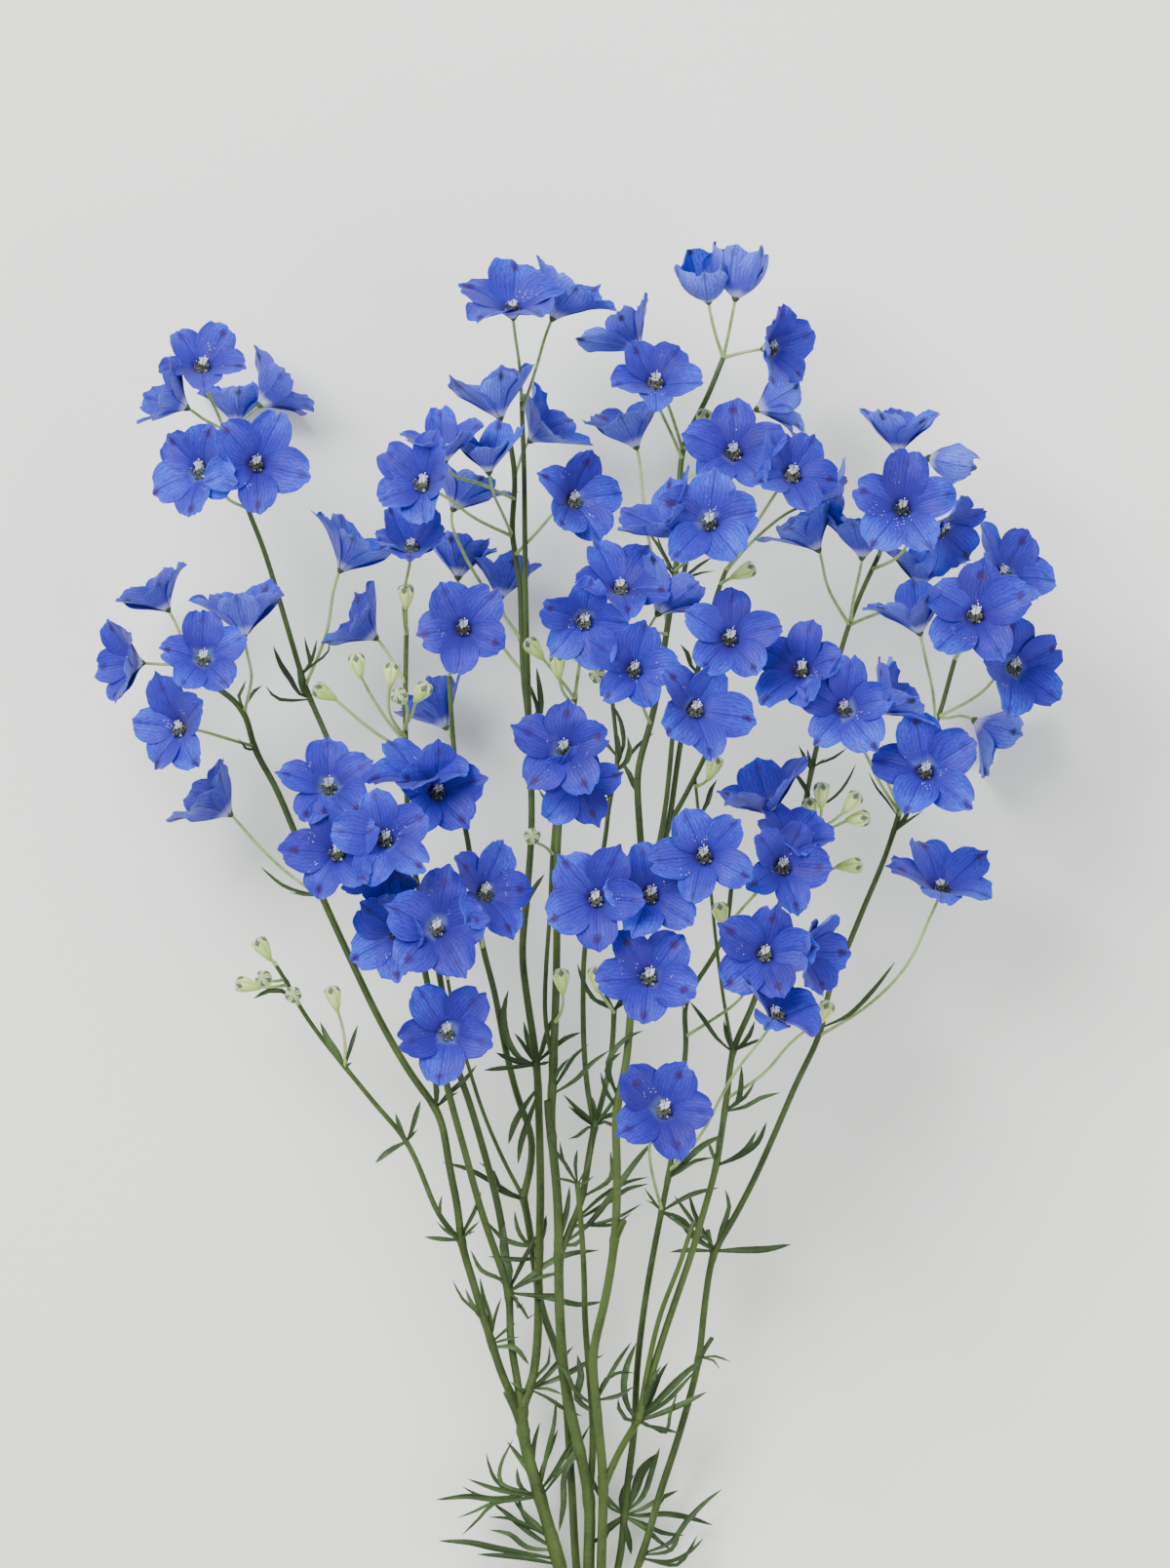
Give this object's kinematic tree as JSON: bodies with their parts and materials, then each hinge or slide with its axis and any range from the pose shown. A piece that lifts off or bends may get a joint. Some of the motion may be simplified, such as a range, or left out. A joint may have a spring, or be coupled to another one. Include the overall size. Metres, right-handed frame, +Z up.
{
  "type": "delphinium flower spray",
  "caption": "Open much-branched cut delphinium with blue five-sepalled blooms, pale buds and narrow lobed leaves on thin green stems, laid on its side",
  "frame": {"origin": "on the surface the spray lies on, under the centre of its bounding box", "axes": "+X to the right of the picture, +Y from the cut end to the flower tips, +Z up from the surface towards the viewer"},
  "size_m": [0.3548, 0.5497, 0.1434],
  "materials": {
    "sepal": "soft satin petal with fine darker veins",
    "leafy": "matte plant green"
  },
  "bodies": {
    "root": {"bloom_centre_low": "sepal", "bloom_crest_left": "sepal", "bloom_crest_right": "sepal", "bloom_far_left_low": "sepal", "bloom_far_left_side": "sepal", "bloom_far_left_top": "sepal", "bloom_far_right_back": "sepal", "bloom_far_right_low": "sepal", "bloom_far_right_side": "sepal", "bloom_far_right_top": "sepal", "bloom_inner_back": "sepal", "bloom_inner_front": "sepal", "bloom_inner_left_back": "sepal", "bloom_inner_left_side": "sepal", "bloom_left_high": "sepal", "bloom_left_low": "sepal", "bloom_low_left_single": "sepal", "bloom_low_middle_right": "sepal", "bloom_low_middle_single": "sepal", "bloom_right_low": "sepal", "bloom_right_middle_front": "sepal", "bloom_tip_low": "sepal", "bloom_tip_side": "sepal", "bloom_top_middle_back": "sepal", "bloom_top_middle_left": "sepal", "bloom_top_middle_single": "sepal", "bloom_top_right_bud": "sepal", "bloom_top_right_crest": "sepal", "bloom_upper_left": "sepal", "bloom_upper_left_half_open": "sepal", "blooms_centre_right": "sepal", "blooms_centre_top": "sepal", "blooms_crest_pair": "sepal", "blooms_far_left_pair": "sepal", "blooms_far_right_front": "sepal", "blooms_inner_left_top": "sepal", "blooms_left_front": "sepal", "blooms_left_front_back": "sepal", "blooms_low_left_front": "sepal", "blooms_low_middle_front": "sepal", "blooms_low_right_front": "sepal", "blooms_low_right_top": "sepal", "blooms_middle_front": "sepal", "blooms_right_front": "sepal", "blooms_tip_pair": "sepal", "blooms_top_left_back": "sepal", "blooms_top_left_front": "sepal", "blooms_top_left_low": "sepal", "blooms_top_middle": "sepal", "blooms_top_middle_front": "sepal", "blooms_top_middle_low": "sepal", "blooms_top_right_front": "sepal", "blooms_upper_inner": "sepal", "leafy_stem_inner_right": "leafy", "leafy_stem_left": "leafy", "leafy_stem_middle": "leafy", "leafy_stem_pale": "leafy", "leafy_stem_right": "leafy", "leafy_stem_slender": "leafy"}
  },
  "joints": []
}
